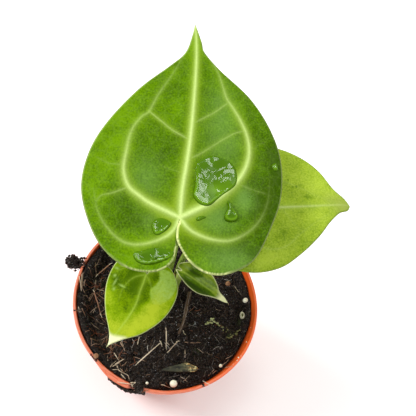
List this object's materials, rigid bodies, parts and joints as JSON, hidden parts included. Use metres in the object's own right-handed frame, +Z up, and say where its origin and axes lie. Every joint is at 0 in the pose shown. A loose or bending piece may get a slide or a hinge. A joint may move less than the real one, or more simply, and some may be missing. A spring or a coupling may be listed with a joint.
{
  "type": "potted anthurium hybrid",
  "caption": "Young anthurium plant with heart-shaped leaves on slim petioles, growing in soil in a small round nursery pot.",
  "frame": {"origin": "middle of the pot's flat underside", "axes": "+Z up along the pot's axis, +Y towards the tip of the large leaf, +X to the right, towards the side leaf"},
  "size_m": [0.1141, 0.1434, 0.1308],
  "materials": {
    "pot_plastic": "satin terracotta-orange thin nursery pot plastic",
    "potting_soil": "moist dark peat mix with fibres",
    "stem_tissue": "green-brown ringed rootstock",
    "petiole_tissue": "smooth green stalk",
    "leaf_large": "satin mid green with pale raised veins",
    "leaf_side": "satin yellow-green with pale veins",
    "leaf_front": "glossy bright yellow-green, cream at tip and margin",
    "leaf_young": "glossy dark green with cream margin",
    "dry_sheath": "dry papery yellow-brown",
    "dry_root": "dry brown fibre",
    "bark": "rough olive-grey bark",
    "fertiliser": "cream coated bead",
    "grit": "matt tan grain",
    "straw": "dry tan straw"
  },
  "bodies": {
    "root": {"pot": "pot_plastic", "soil": "potting_soil", "stem": "stem_tissue", "petiole_large": "petiole_tissue", "petiole_side": "petiole_tissue", "petiole_front": "petiole_tissue", "petiole_young": "petiole_tissue", "blade_large": "leaf_large", "blade_side": "leaf_side", "blade_front": "leaf_front", "blade_young": "leaf_young", "cataphyll": "dry_sheath", "dead_root": "dry_root", "bark_chip": "bark", "fertiliser_bead_1": "fertiliser", "fertiliser_bead_2": "fertiliser", "fertiliser_bead_3": "fertiliser", "fertiliser_bead_4": "fertiliser", "fertiliser_prill": "fertiliser", "grit_1": "grit", "grit_2": "grit", "straw_1": "straw", "straw_2": "straw", "straw_3": "straw", "straw_4": "straw", "straw_5": "straw", "straw_6": "straw", "rim_clump_left": "potting_soil", "rim_clump_front": "potting_soil", "rim_crumb": "potting_soil"}
  },
  "joints": []
}
